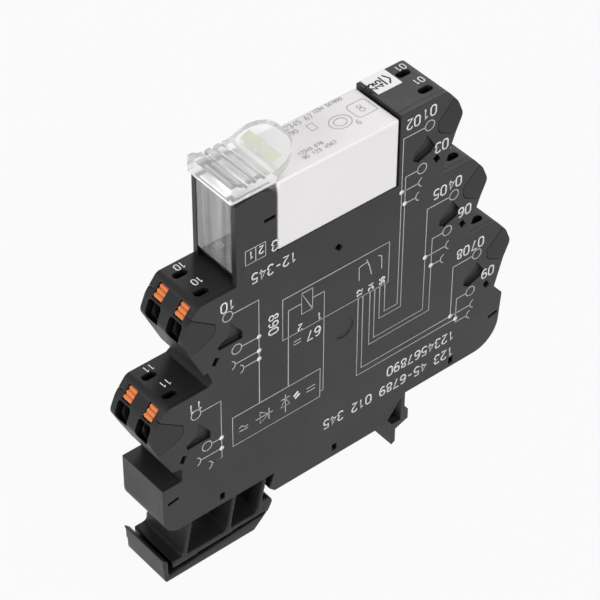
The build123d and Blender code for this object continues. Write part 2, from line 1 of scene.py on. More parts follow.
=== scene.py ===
"""Interface relay module: finishes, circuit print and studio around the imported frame."""

import math

import bpy
from mathutils import Matrix, Vector


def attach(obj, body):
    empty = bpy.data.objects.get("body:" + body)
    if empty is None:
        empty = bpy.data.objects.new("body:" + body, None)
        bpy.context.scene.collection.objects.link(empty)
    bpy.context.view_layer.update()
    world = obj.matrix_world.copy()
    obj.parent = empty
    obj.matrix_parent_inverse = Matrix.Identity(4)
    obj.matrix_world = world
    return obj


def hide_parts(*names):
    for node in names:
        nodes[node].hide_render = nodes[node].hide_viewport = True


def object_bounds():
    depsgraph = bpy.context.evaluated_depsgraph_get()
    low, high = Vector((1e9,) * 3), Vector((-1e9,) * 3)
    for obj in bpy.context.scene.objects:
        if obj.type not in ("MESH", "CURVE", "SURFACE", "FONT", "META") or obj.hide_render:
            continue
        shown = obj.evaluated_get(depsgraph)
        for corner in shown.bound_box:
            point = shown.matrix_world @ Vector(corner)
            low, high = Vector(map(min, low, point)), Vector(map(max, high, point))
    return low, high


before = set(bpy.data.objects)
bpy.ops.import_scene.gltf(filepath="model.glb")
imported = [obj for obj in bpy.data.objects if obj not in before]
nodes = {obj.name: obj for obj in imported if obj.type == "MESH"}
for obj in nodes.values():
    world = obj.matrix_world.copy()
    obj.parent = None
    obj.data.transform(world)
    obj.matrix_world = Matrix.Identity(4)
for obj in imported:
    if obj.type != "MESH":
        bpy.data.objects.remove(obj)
cad_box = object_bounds()
MM = 0.001

# Camera: the photograph's own view, solved from the straight edges of the housing.
# It stands left of the module and above it, with a long lens.
camera_place = Vector((-0.2381, -0.2806, 0.3709))
camera_azimuth = -39.83
camera_elevation = 42.17
camera_roll = 0.38
lens_pixels = 2568.7
frame_pixels = 600

camera_data = bpy.data.cameras.new("camera")
camera_data.sensor_width = 36.0
camera_data.lens = camera_data.sensor_width * lens_pixels / frame_pixels
camera = bpy.data.objects.new("camera", camera_data)
bpy.context.scene.collection.objects.link(camera)
turn = Matrix.Rotation(math.radians(camera_azimuth), 4, "Z")
tilt = Matrix.Rotation(math.radians(90 - camera_elevation), 4, "X")
roll = Matrix.Rotation(math.radians(camera_roll), 4, "Z")
camera.matrix_world = Matrix.Translation(camera_place) @ turn @ tilt @ roll
bpy.context.scene.camera = camera
bpy.context.scene.view_settings.view_transform = "Standard"

# Studio: a plain pale floor under the foot, a white sky and three soft lamps.
# The key comes from the upper left, as the bright end faces in the photograph show.
floor_drop = 0.0002
floor_size = 6.0
floor_shade = (0.16, 0.16, 0.16, 1)
floor_rough = 0.9
floor_lift = 0.95
sky_strength = 0.40


def new_material(name):
    """A material with its Principled shader, ready for more nodes."""
    material = bpy.data.materials.new(name)
    material.use_nodes = True
    shader = material.node_tree.nodes["Principled BSDF"]
    return material, material.node_tree, shader


floor_mesh = bpy.data.meshes.new("floor")
floor_z = cad_box[0][2] - floor_drop
half = floor_size / 2
floor_corners = [(-half, -half, floor_z), (half, -half, floor_z)]
floor_corners += [(half, half, floor_z), (-half, half, floor_z)]
floor_mesh.from_pydata(floor_corners, [], [(0, 1, 2, 3)])
floor = bpy.data.objects.new("floor", floor_mesh)
bpy.context.scene.collection.objects.link(floor)
floor_material, tree, shader = new_material("pale_floor")
shader.inputs["Base Color"].default_value = floor_shade
shader.inputs["Roughness"].default_value = floor_rough

# The camera, reflections and the clear lever see the floor nearly white, like the
# photograph's cleared background. The part is lit by its plain grey shade.
glow = tree.nodes.new("ShaderNodeEmission")
glow.inputs["Color"].default_value = (1, 1, 1, 1)
mix = tree.nodes.new("ShaderNodeMixShader")
path = tree.nodes.new("ShaderNodeLightPath")
share = tree.nodes.new("ShaderNodeMath")
share.operation = "MULTIPLY"
share.inputs[1].default_value = floor_lift
seen = tree.nodes.new("ShaderNodeMath")
seen.operation = "ADD"
through = tree.nodes.new("ShaderNodeMath")
through.operation = "ADD"
tree.links.new(path.outputs["Is Camera Ray"], seen.inputs[0])
tree.links.new(path.outputs["Is Glossy Ray"], seen.inputs[1])
tree.links.new(seen.outputs[0], through.inputs[0])
tree.links.new(path.outputs["Is Transmission Ray"], through.inputs[1])
tree.links.new(through.outputs[0], share.inputs[0])
tree.links.new(share.outputs[0], mix.inputs["Fac"])
tree.links.new(shader.outputs["BSDF"], mix.inputs[1])
tree.links.new(glow.outputs["Emission"], mix.inputs[2])
tree.links.new(mix.outputs["Shader"], tree.nodes["Material Output"].inputs["Surface"])
floor.data.materials.append(floor_material)

# The camera and the clear lever see pure white behind the part; the sky is weaker.
world = bpy.data.worlds.new("studio")
bpy.context.scene.world = world
world.use_nodes = True
tree = world.node_tree
sky = tree.nodes["Background"]
sky.inputs["Color"].default_value = (1, 1, 1, 1)
sky.inputs["Strength"].default_value = sky_strength
backdrop = tree.nodes.new("ShaderNodeBackground")
backdrop.inputs["Color"].default_value = (1, 1, 1, 1)
backdrop.inputs["Strength"].default_value = 1.0
path = tree.nodes.new("ShaderNodeLightPath")
either = tree.nodes.new("ShaderNodeMath")
either.operation = "MAXIMUM"
tree.links.new(path.outputs["Is Camera Ray"], either.inputs[0])
tree.links.new(path.outputs["Is Transmission Ray"], either.inputs[1])
mix = tree.nodes.new("ShaderNodeMixShader")
tree.links.new(either.outputs[0], mix.inputs["Fac"])
tree.links.new(sky.outputs["Background"], mix.inputs[1])
tree.links.new(backdrop.outputs["Background"], mix.inputs[2])
tree.links.new(mix.outputs["Shader"], tree.nodes["World Output"].inputs["Surface"])

# Lamps: name, place, size of the soft box and power, all aimed at the middle of the part.
lamp_aim = Vector((0, 0, 0.04))
lamps = [("key", (-0.80, -0.15, 0.22), 0.5, 6.0), ("front", (0.15, -0.8, 0.45), 0.7, 4.6)]
lamps += [("back", (0.55, 0.40, 0.50), 0.5, 1.7)]
for lamp_name, place, size, power in lamps:
    lamp_data = bpy.data.lights.new(lamp_name, "AREA")
    lamp_data.shape = "SQUARE"
    lamp_data.size = size
    lamp_data.energy = power
    lamp = bpy.data.objects.new(lamp_name, lamp_data)
    lamp.location = place
    aim = lamp_aim - Vector(place)
    lamp.rotation_euler = aim.to_track_quat("-Z", "Y").to_euler()
    bpy.context.scene.collection.objects.link(lamp)

# Housing: shell and snapped-on cover, injection moulded in dark grey polyamide.
# Spark-eroded tool faces give it a fine satin grain, and the edges are a little rounded.
housing_shade = (0.0135, 0.0135, 0.014, 1)
housing_shade_light = (0.019, 0.019, 0.0195, 1)
grain_scale = 5200.0
cloud_scale = 95.0
cloud_low, cloud_high = 0.3, 0.7
grain_depth = 0.00004
# Painted shade: hollows within this reach get a darker colour, spread over this span of occlusion.
crevice_reach = 0.0035
crevice_span = 0.48
edge_samples = 6


def grain_group():
    """Node group: fine moulded grain and slow cloudiness, in object space."""
    group = bpy.data.node_groups.new("moulded_grain", "ShaderNodeTree")
    group.interface.new_socket("Grain Scale", in_out="INPUT", socket_type="NodeSocketFloat")
    group.interface.new_socket("Cloud Scale", in_out="INPUT", socket_type="NodeSocketFloat")
    group.interface.new_socket("Height", in_out="OUTPUT", socket_type="NodeSocketFloat")
    group.interface.new_socket("Cloud", in_out="OUTPUT", socket_type="NodeSocketFloat")
    source = group.nodes.new("NodeGroupInput")
    target = group.nodes.new("NodeGroupOutput")
    place = group.nodes.new("ShaderNodeTexCoord")
    grain = group.nodes.new("ShaderNodeTexNoise")
    grain.inputs["Detail"].default_value = 3.0
    grain.inputs["Roughness"].default_value = 0.65
    cloud = group.nodes.new("ShaderNodeTexNoise")
    cloud.inputs["Detail"].default_value = 2.0
    group.links.new(place.outputs["Object"], grain.inputs["Vector"])
    group.links.new(place.outputs["Object"], cloud.inputs["Vector"])
    group.links.new(source.outputs["Grain Scale"], grain.inputs["Scale"])
    group.links.new(source.outputs["Cloud Scale"], cloud.inputs["Scale"])
    group.links.new(grain.outputs["Fac"], target.inputs["Height"])
    group.links.new(cloud.outputs["Fac"], target.inputs["Cloud"])
    return group


moulded_grain = grain_group()


def plastic(name, dark, light, rough, rough_spread, bump, edge,
            painted_crevice_shade=0.1, gloss=0.5, hollow=0.12):
    """Moulded plastic: clouded colour, satin grain, painted shade in crevices and softly rounded
    edges.
    """
    material, tree, shader = new_material(name)
    shader.inputs["Specular IOR Level"].default_value = gloss
    skin = tree.nodes.new("ShaderNodeGroup")
    skin.node_tree = moulded_grain
    skin.inputs["Grain Scale"].default_value = grain_scale
    skin.inputs["Cloud Scale"].default_value = cloud_scale
    colour = tree.nodes.new("ShaderNodeMix")
    colour.data_type = "RGBA"
    colour.inputs["A"].default_value = dark
    colour.inputs["B"].default_value = light
    spread = tree.nodes.new("ShaderNodeMapRange")
    spread.inputs["From Min"].default_value = cloud_low
    spread.inputs["From Max"].default_value = cloud_high
    spread.inputs["To Min"].default_value = rough - rough_spread
    spread.inputs["To Max"].default_value = rough + rough_spread
    # Painted shade: the colour darkens where nearby walls hide the light, in crevices and hollows.
    crevice = tree.nodes.new("ShaderNodeAmbientOcclusion")
    crevice.inputs["Distance"].default_value = crevice_reach
    depth = tree.nodes.new("ShaderNodeMapRange")
    depth.inputs["From Min"].default_value = hollow
    depth.inputs["From Max"].default_value = hollow + crevice_span
    depth.inputs["To Min"].default_value = painted_crevice_shade
    shaded = tree.nodes.new("ShaderNodeMix")
    shaded.data_type = "RGBA"
    shaded.blend_type = "MULTIPLY"
    shaded.inputs["Factor"].default_value = 1.0
    soften = tree.nodes.new("ShaderNodeBevel")
    soften.samples = edge_samples
    soften.inputs["Radius"].default_value = edge
    relief = tree.nodes.new("ShaderNodeBump")
    relief.inputs["Strength"].default_value = bump
    relief.inputs["Distance"].default_value = grain_depth
    tree.links.new(skin.outputs["Cloud"], colour.inputs["Factor"])
    tree.links.new(skin.outputs["Cloud"], spread.inputs["Value"])
    tree.links.new(crevice.outputs["AO"], depth.inputs["Value"])
    tree.links.new(colour.outputs["Result"], shaded.inputs["A"])
    tree.links.new(depth.outputs["Result"], shaded.inputs["B"])
    tree.links.new(shaded.outputs["Result"], shader.inputs["Base Color"])
    tree.links.new(spread.outputs["Result"], shader.inputs["Roughness"])
    tree.links.new(skin.outputs["Height"], relief.inputs["Height"])
    tree.links.new(soften.outputs["Normal"], relief.inputs["Normal"])
    tree.links.new(relief.outputs["Normal"], shader.inputs["Normal"])
    return material


def dress(names, material):
    """Give CAD nodes a material in all their slots."""
    for name in names:
        piece = nodes[name]
        if not piece.data.materials:
            piece.data.materials.append(material)
        for index in range(len(piece.data.materials)):
            piece.data.materials[index] = material


housing_plastic = plastic("housing_plastic", housing_shade, housing_shade_light, rough=0.46,
                          rough_spread=0.06, bump=0.35, edge=0.00025, gloss=0.4)
dress(["housing_shell", "side_cover"], housing_plastic)

# Rail foot: the same polyamide, slid into the base from below. Its plate, walls and legs
# have rounded edges from the tool, so a copy of the frame's plain foot gets them here:
# its loose triangles are joined, skinned anew on a fine grid and smoothed.
foot_plastic = plastic("foot_plastic", (0.013, 0.013, 0.0133, 1), (0.018, 0.018, 0.0183, 1),
                       rough=0.42, rough_spread=0.06, bump=0.3, edge=0.0004,
                       painted_crevice_shade=0.2, gloss=0.3)
dress(["rail_foot"], foot_plastic)
joining_reach = 0.00001
skin_grid = 0.0003
rounding_share = 0.5
rounding_passes = 6
rounded_foot = bpy.data.objects.new("rounded_foot", nodes["rail_foot"].data.copy())
bpy.context.scene.collection.objects.link(rounded_foot)
joining = rounded_foot.modifiers.new("joining", "WELD")
joining.merge_threshold = joining_reach
skinning = rounded_foot.modifiers.new("skinning", "REMESH")
skinning.mode = "VOXEL"
skinning.voxel_size = skin_grid
rounding = rounded_foot.modifiers.new("rounding", "SMOOTH")
rounding.factor = rounding_share
rounding.iterations = rounding_passes
bpy.context.view_layer.update()
graph = bpy.context.evaluated_depsgraph_get()
rounded_mesh = bpy.data.meshes.new_from_object(rounded_foot.evaluated_get(graph))
rounded_foot.modifiers.clear()
rounded_foot.data = rounded_mesh
rounded_mesh.shade_smooth()
rounded_mesh.materials.clear()
rounded_mesh.materials.append(foot_plastic)
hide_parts("rail_foot")
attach(rounded_foot, "foot")

# Terminal blocks: glass-filled polyamide, a shade darker, snapped into the noses. Their
# wire entries get painted shade, nearly black inside. The relay's socket is of the same material.
tiers = ["a1", "a2", "no", "com", "nc"]
terminal_plastic = plastic("terminal_plastic", (0.0135, 0.0138, 0.0148, 1),
                           (0.0185, 0.019, 0.020, 1), rough=0.46, rough_spread=0.06, bump=0.4,
                           edge=0.0002, painted_crevice_shade=0.0, gloss=0.28, hollow=0.5)
dress([tier + "_terminal_block" for tier in tiers], terminal_plastic)
dress(["relay_socket"], terminal_plastic)

# Pushers: orange polyamide, one moulding each, pressed in to open the clamp. The slanted
# head has round grip ribs, and a foot behind the guide keeps it in its terminal block.
orange_plastic = plastic("orange_plastic", (0.68, 0.205, 0.06, 1), (0.76, 0.24, 0.075, 1),
                         rough=0.45, rough_spread=0.06, bump=0.3, edge=0.0001,
                         painted_crevice_shade=0.9)
for tier in tiers:
    dress([tier + "_pusher_near", tier + "_pusher_far"], orange_plastic)

# A pusher's place on the tilted face of a nose: the wire entry's middle lies out and down
# from the tier's top corner, and the pusher above it. Its head is sunk below the face.
nose_tilt = math.atan2(1.45, 3.55)
wire_out = 0.003669
wire_down = 0.0057
wire_y = 0.00315
pusher_above = 0.00415
pusher_sunk = 0.00105
pusher_end = 0.00646
rib_sides = 20
head_depth = 0.001

# Each tier's top corner: the side that its nose points to, then x and z.
tier_corners = {"a1": (-1, -0.0330, 0.0591), "a2": (-1, -0.0410, 0.0381), "no": (1, 0.0262, 0.0793)}
tier_corners.update({"com": (1, 0.03385, 0.0593), "nc": (1, 0.0415, 0.0393)})


def pusher_tree(name):
    """Geometry Nodes: a stem with a row of round ribs on its head and a wider foot."""
    group = bpy.data.node_groups.new(name, "GeometryNodeTree")
    group.interface.new_socket("Geometry", in_out="INPUT", socket_type="NodeSocketGeometry")
    for socket in ("Width", "Height", "Length", "Foot Width", "Foot Sheet", "Rib Pitch",
                   "Rib Radius", "Head Slope"):
        group.interface.new_socket(socket, in_out="INPUT", socket_type="NodeSocketFloat")
    group.interface.new_socket("Rib Count", in_out="INPUT", socket_type="NodeSocketInt")
    group.interface.new_socket("Plastic", in_out="INPUT", socket_type="NodeSocketMaterial")
    group.interface.new_socket("Geometry", in_out="OUTPUT", socket_type="NodeSocketGeometry")
    source = group.nodes.new("NodeGroupInput")
    target = group.nodes.new("NodeGroupOutput")
    joined = group.nodes.new("GeometryNodeJoinGeometry")
    below = group.nodes.new("ShaderNodeMath")
    below.operation = "MULTIPLY"
    below.inputs[1].default_value = -1.0
    group.links.new(source.outputs["Length"], below.inputs[0])
    for width, length, share in (("Width", "Length", 0.5), ("Foot Width", "Foot Sheet", 1.0)):
        size = group.nodes.new("ShaderNodeCombineXYZ")
        group.links.new(source.outputs[width], size.inputs["X"])
        group.links.new(source.outputs["Height"], size.inputs["Y"])
        group.links.new(source.outputs[length], size.inputs["Z"])
        block = group.nodes.new("GeometryNodeMeshCube")
        group.links.new(size.outputs["Vector"], block.inputs["Size"])
        depth = group.nodes.new("ShaderNodeMath")
        depth.operation = "MULTIPLY"
        depth.inputs[1].default_value = share
        group.links.new(below.outputs["Value"], depth.inputs[0])
        place = group.nodes.new("ShaderNodeCombineXYZ")
        group.links.new(depth.outputs["Value"], place.inputs["Z"])
        moved = group.nodes.new("GeometryNodeTransform")
        group.links.new(block.outputs["Mesh"], moved.inputs["Geometry"])
        group.links.new(place.outputs["Vector"], moved.inputs["Translation"])
        group.links.new(moved.outputs["Geometry"], joined.inputs["Geometry"])
    rib = group.nodes.new("GeometryNodeMeshCylinder")
    rib.inputs["Vertices"].default_value = rib_sides
    group.links.new(source.outputs["Rib Radius"], rib.inputs["Radius"])
    group.links.new(source.outputs["Width"], rib.inputs["Depth"])
    pitch = group.nodes.new("ShaderNodeCombineXYZ")
    group.links.new(source.outputs["Rib Pitch"], pitch.inputs["Y"])
    row = group.nodes.new("GeometryNodeMeshLine")
    group.links.new(source.outputs["Rib Count"], row.inputs["Count"])
    group.links.new(pitch.outputs["Vector"], row.inputs["Offset"])
    ribs = group.nodes.new("GeometryNodeInstanceOnPoints")
    ribs.inputs["Rotation"].default_value = (0, math.radians(90), 0)
    group.links.new(row.outputs["Mesh"], ribs.inputs["Points"])
    group.links.new(rib.outputs["Mesh"], ribs.inputs["Instance"])
    middle = group.nodes.new("ShaderNodeVectorMath")
    middle.operation = "SCALE"
    middle.inputs["Scale"].default_value = -1.0
    group.links.new(pitch.outputs["Vector"], middle.inputs[0])
    centred = group.nodes.new("GeometryNodeTransform")
    group.links.new(ribs.outputs["Instances"], centred.inputs["Geometry"])
    group.links.new(middle.outputs["Vector"], centred.inputs["Translation"])
    group.links.new(centred.outputs["Geometry"], joined.inputs["Geometry"])
    realize = group.nodes.new("GeometryNodeRealizeInstances")
    group.links.new(joined.outputs["Geometry"], realize.inputs["Geometry"])
    spot = group.nodes.new("GeometryNodeInputPosition")
    parts = group.nodes.new("ShaderNodeSeparateXYZ")
    group.links.new(spot.outputs["Position"], parts.inputs["Vector"])
    in_head = group.nodes.new("FunctionNodeCompare")
    in_head.operation = "GREATER_THAN"
    in_head.inputs["B"].default_value = -head_depth
    group.links.new(parts.outputs["Z"], in_head.inputs["A"])
    slope = group.nodes.new("ShaderNodeMath")
    slope.operation = "MULTIPLY"
    group.links.new(parts.outputs["Y"], slope.inputs[0])
    group.links.new(source.outputs["Head Slope"], slope.inputs[1])
    shift = group.nodes.new("ShaderNodeCombineXYZ")
    group.links.new(slope.outputs["Value"], shift.inputs["Z"])
    slanted = group.nodes.new("GeometryNodeSetPosition")
    group.links.new(realize.outputs["Geometry"], slanted.inputs["Geometry"])
    group.links.new(in_head.outputs["Result"], slanted.inputs["Selection"])
    group.links.new(shift.outputs["Vector"], slanted.inputs["Offset"])
    finish = group.nodes.new("GeometryNodeSetMaterial")
    group.links.new(slanted.outputs["Geometry"], finish.inputs["Geometry"])
    group.links.new(source.outputs["Plastic"], finish.inputs["Material"])
    group.links.new(finish.outputs["Geometry"], target.inputs["Geometry"])
    return group


pusher_sizes = {"Width": 0.0024, "Height": 0.0030, "Length": pusher_end - pusher_sunk}
pusher_sizes.update({"Foot Width": 0.0028, "Foot Sheet": 0.0007})
pusher_sizes.update({"Rib Count": 3, "Rib Pitch": 0.00095, "Rib Radius": 0.00036})
pusher_sizes.update({"Head Slope": -0.42, "Plastic": orange_plastic})
blank = bpy.data.objects.new("pusher_blank", bpy.data.meshes.new("pusher_blank"))
bpy.context.scene.collection.objects.link(blank)
moulding = blank.modifiers.new("pusher", "NODES")
moulding.node_group = pusher_tree("ribbed_pusher")
for item in moulding.node_group.interface.items_tree:
    if item.in_out == "INPUT" and item.name in pusher_sizes:
        moulding[item.identifier] = pusher_sizes[item.name]
bpy.context.view_layer.update()
graph = bpy.context.evaluated_depsgraph_get()
pusher_mesh = bpy.data.meshes.new_from_object(blank.evaluated_get(graph))
bpy.data.objects.remove(blank)
cosine, sine = math.cos(nose_tilt), math.sin(nose_tilt)
for tier, (side, corner_x, corner_z) in tier_corners.items():
    out = wire_out - pusher_sunk * cosine - pusher_above * sine
    down = wire_down + pusher_sunk * sine - pusher_above * cosine
    for where, y in (("near", -wire_y), ("far", wire_y)):
        across = Vector((0, side, 0))
        above = Vector((-side * sine, 0, cosine))
        outward = Vector((side * cosine, 0, sine))
        seat = Matrix((across, above, outward)).transposed().to_4x4()
        seat.translation = (corner_x + side * out, y, corner_z - down)
        node = tier + "_pusher_" + where
        mesh = pusher_mesh.copy()
        mesh.transform(seat)
        pusher = bpy.data.objects.new(node + "_ribbed", mesh)
        bpy.context.scene.collection.objects.link(pusher)
        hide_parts(node)
        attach(pusher, node)

# Relay: pale pinkish grey polyester case over a dark base, sealed round its blades.
relay_plastic = plastic("relay_plastic", (0.88, 0.85, 0.86, 1), (0.93, 0.90, 0.91, 1),
                        rough=0.38, rough_spread=0.05, bump=0.2, edge=0.0003,
                        painted_crevice_shade=0.7)
dress(["relay_case"], relay_plastic)
relay_base_plastic = plastic("relay_base_plastic", (0.02, 0.02, 0.02, 1), (0.03, 0.03, 0.03, 1),
                             rough=0.5, rough_spread=0.05, bump=0.2, edge=0.0001)
dress(["relay_base", "board_parts"], relay_base_plastic)

# Marker plate: white polyester, clipped into the top of the highest tier.
marker_plastic = plastic("marker_plastic", (0.92, 0.92, 0.92, 1), (0.96, 0.96, 0.96, 1),
                         rough=0.45, rough_spread=0.05, bump=0.15, edge=0.0001,
                         painted_crevice_shade=0.8)
dress(["marker_plate"], marker_plastic)


# Metal: tinned copper bars, blades and socket contacts, and bright spring steel.
# Rolled strip has fine lines along it.
drawn_scale = (300.0, 9000.0, 300.0)
drawn_depth = 0.00002


def strip_metal(name, dark, light, rough):
    """Rolled strip: drawn lines in colour, roughness and relief."""
    material, tree, shader = new_material(name)
    shader.inputs["Metallic"].default_value = 1.0
    place = tree.nodes.new("ShaderNodeTexCoord")
    stretch = tree.nodes.new("ShaderNodeMapping")
    stretch.inputs["Scale"].default_value = drawn_scale
    lines = tree.nodes.new("ShaderNodeTexNoise")
    lines.inputs["Scale"].default_value = 1.0
    lines.inputs["Detail"].default_value = 3.0
    colour = tree.nodes.new("ShaderNodeMix")
    colour.data_type = "RGBA"
    colour.inputs["A"].default_value = dark
    colour.inputs["B"].default_value = light
    spread = tree.nodes.new("ShaderNodeMapRange")
    spread.inputs["To Min"].default_value = rough
    spread.inputs["To Max"].default_value = rough + 0.15
    relief = tree.nodes.new("ShaderNodeBump")
    relief.inputs["Strength"].default_value = 0.2
    relief.inputs["Distance"].default_value = drawn_depth
    tree.links.new(place.outputs["Object"], stretch.inputs["Vector"])
    tree.links.new(stretch.outputs["Vector"], lines.inputs["Vector"])
    tree.links.new(lines.outputs["Fac"], colour.inputs["Factor"])
    tree.links.new(lines.outputs["Fac"], spread.inputs["Value"])
    tree.links.new(lines.outputs["Fac"], relief.inputs["Height"])
    tree.links.new(colour.outputs["Result"], shader.inputs["Base Color"])
    tree.links.new(spread.outputs["Result"], shader.inputs["Roughness"])
    tree.links.new(relief.outputs["Normal"], shader.inputs["Normal"])
    return material


tinned_copper = strip_metal("tinned_copper", (0.62, 0.50, 0.40, 1), (0.78, 0.66, 0.55, 1), 0.25)
spring_steel = strip_metal("spring_steel", (0.50, 0.50, 0.50, 1), (0.68, 0.68, 0.67, 1), 0.2)
dress([tier + "_current_bars" for tier in tiers], tinned_copper)
dress(["relay_blades", "socket_contacts"], tinned_copper)
dress([tier + "_clamp_springs" for tier in tiers], spring_steel)

# Circuit board: green solder mask over glass laminate, held by ribs of the side walls.
# A green status lamp stands on it, under the lever.
board_green = plastic("board_green", (0.012, 0.10, 0.035, 1), (0.02, 0.15, 0.05, 1),
                      rough=0.3, rough_spread=0.05, bump=0.3, edge=0.0001)
dress(["circuit_board"], board_green)
lamp_green = plastic("lamp_green", (0.18, 0.5, 0.1, 1), (0.25, 0.62, 0.15, 1),
                     rough=0.25, rough_spread=0.05, bump=0.05, edge=0.0001)
dress(["status_lamp"], lamp_green)

# Ejector lever: clear polycarbonate in one moulding, hinged beside the relay well.
# Its column is polished, with faint flow marks from the mould; the grip head is matt.
head_line = 0.0787
head_blend = 0.0004
head_matt = 0.12
flow_scale = (420.0, 420.0, 26.0)
flow_depth = 0.0001
clear_plastic, tree, shader = new_material("clear_plastic")
shader.inputs["Transmission Weight"].default_value = 0.74
shader.inputs["IOR"].default_value = 1.5
place = tree.nodes.new("ShaderNodeTexCoord")
stretch = tree.nodes.new("ShaderNodeMapping")
stretch.inputs["Scale"].default_value = flow_scale
flow = tree.nodes.new("ShaderNodeTexNoise")
flow.inputs["Scale"].default_value = 1.0
flow.inputs["Detail"].default_value = 2.0
streaks = tree.nodes.new("ShaderNodeMapRange")
streaks.inputs["From Min"].default_value = 0.35
streaks.inputs["From Max"].default_value = 0.65
body_tint = tree.nodes.new("ShaderNodeMix")
body_tint.data_type = "RGBA"
body_tint.inputs["A"].default_value = (0.40, 0.41, 0.41, 1)
body_tint.inputs["B"].default_value = (0.84, 0.85, 0.845, 1)
head_tint = tree.nodes.new("ShaderNodeMix")
head_tint.data_type = "RGBA"
head_tint.inputs["B"].default_value = (1.0, 1.0, 0.995, 1)
above = tree.nodes.new("ShaderNodeMapRange")
above.inputs["From Min"].default_value = head_line - head_blend
above.inputs["From Max"].default_value = head_line
haze = tree.nodes.new("ShaderNodeMapRange")
haze.inputs["To Min"].default_value = 0.02
haze.inputs["To Max"].default_value = 0.10
height = tree.nodes.new("ShaderNodeSeparateXYZ")
matt = tree.nodes.new("ShaderNodeMapRange")
matt.inputs["From Min"].default_value = head_line - head_blend
matt.inputs["From Max"].default_value = head_line
matt.inputs["To Max"].default_value = head_matt
rough = tree.nodes.new("ShaderNodeMath")
rough.operation = "ADD"
relief = tree.nodes.new("ShaderNodeBump")
relief.inputs["Strength"].default_value = 0.02
relief.inputs["Distance"].default_value = flow_depth
tree.links.new(place.outputs["Object"], stretch.inputs["Vector"])
tree.links.new(stretch.outputs["Vector"], flow.inputs["Vector"])
tree.links.new(flow.outputs["Fac"], haze.inputs["Value"])
tree.links.new(flow.outputs["Fac"], streaks.inputs["Value"])
tree.links.new(streaks.outputs["Result"], body_tint.inputs["Factor"])
tree.links.new(body_tint.outputs["Result"], head_tint.inputs["A"])
tree.links.new(height.outputs["Z"], above.inputs["Value"])
tree.links.new(above.outputs["Result"], head_tint.inputs["Factor"])
tree.links.new(head_tint.outputs["Result"], shader.inputs["Base Color"])
tree.links.new(place.outputs["Object"], height.inputs["Vector"])
tree.links.new(height.outputs["Z"], matt.inputs["Value"])
tree.links.new(haze.outputs["Result"], rough.inputs[0])
tree.links.new(matt.outputs["Result"], rough.inputs[1])
tree.links.new(rough.outputs["Value"], shader.inputs["Roughness"])
tree.links.new(flow.outputs["Fac"], relief.inputs["Height"])
tree.links.new(relief.outputs["Normal"], shader.inputs["Normal"])
dress(["ejector_lever"], clear_plastic)

# Pivot caps: the side walls close the holes of the lever's pivot outside, flush with them.
pivot_place = (-0.0219, 0.0617)
cap_radius = 0.00135
cap_sheet = 0.00002
cap_corners = 32
for face_name, face_y, outward in (("near", cad_box[0][1], -1), ("far", cad_box[1][1], 1)):
    cap_points = []
    for step in range(cap_corners):
        angle = math.radians(360 / cap_corners * step) * -outward
        x = pivot_place[0] + cap_radius * math.cos(angle)
        z = pivot_place[1] + cap_radius * math.sin(angle)
        cap_points.append((x, face_y + outward * cap_sheet, z))
    cap_mesh = bpy.data.meshes.new("pivot_cap_" + face_name)
    cap_mesh.from_pydata(cap_points, [], [tuple(range(cap_corners))])
    cap_mesh.materials.append(housing_plastic)
    cap = bpy.data.objects.new("pivot_cap_" + face_name, cap_mesh)
    bpy.context.scene.collection.objects.link(cap)
    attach(cap, "housing")

# Status window: two pale green films laid on the lever's tab, with a gap between them.
# They lie flush on the slope and end inside its rounded corners.
window_film = plastic("window_film", (0.66, 0.68, 0.57, 1), (0.74, 0.76, 0.65, 1),
                      rough=0.35, rough_spread=0.05, bump=0.1, edge=0.0001, painted_crevice_shade=0.9)
slope_foot = Vector((-0.0152, 0, 0.0817))
slope_top = Vector((-0.0086, 0, 0.0845))
film_lift = Vector((-0.00001, 0, 0.00003))
film_start, film_end = 0.10, 0.42
film_edges = ((-0.0047, -0.0003), (0.0003, 0.0047))
film_low = slope_foot.lerp(slope_top, film_start) + film_lift
film_high = slope_foot.lerp(slope_top, film_end) + film_lift
film_points = []
film_faces = []
for near_edge, far_edge in film_edges:
    first = len(film_points)
    near_side = [(film_low, near_edge), (film_high, near_edge)]
    far_side = [(film_high, far_edge), (film_low, far_edge)]
    for place, y in near_side + far_side:
        film_points.append((place.x, y, place.z))
    film_faces.append((first, first + 1, first + 2, first + 3))
film_mesh = bpy.data.meshes.new("window_film")
film_mesh.from_pydata(film_points, [], film_faces)
film_mesh.materials.append(window_film)
film = bpy.data.objects.new("window_film", film_mesh)
bpy.context.scene.collection.objects.link(film)
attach(film, "ejector")

# Circuit print: pale grey ink, pad printed on the cover, of one line width.
# Each conductor is a path on the cover; rings are test points and forks wire entries.
print_face = cad_box[0][1]
ink_height = 0.00002
line_width = 0.00023
number_width = 0.00036
ring_radius = 1.15
ring_steps = 24
fork_reach = 1.5
claw_depth = 0.6
claw_stretch = 1.1
claw_shift = 0.1
claw_half_height = 0.7
claw_half_turn = 80
claw_steps = 8

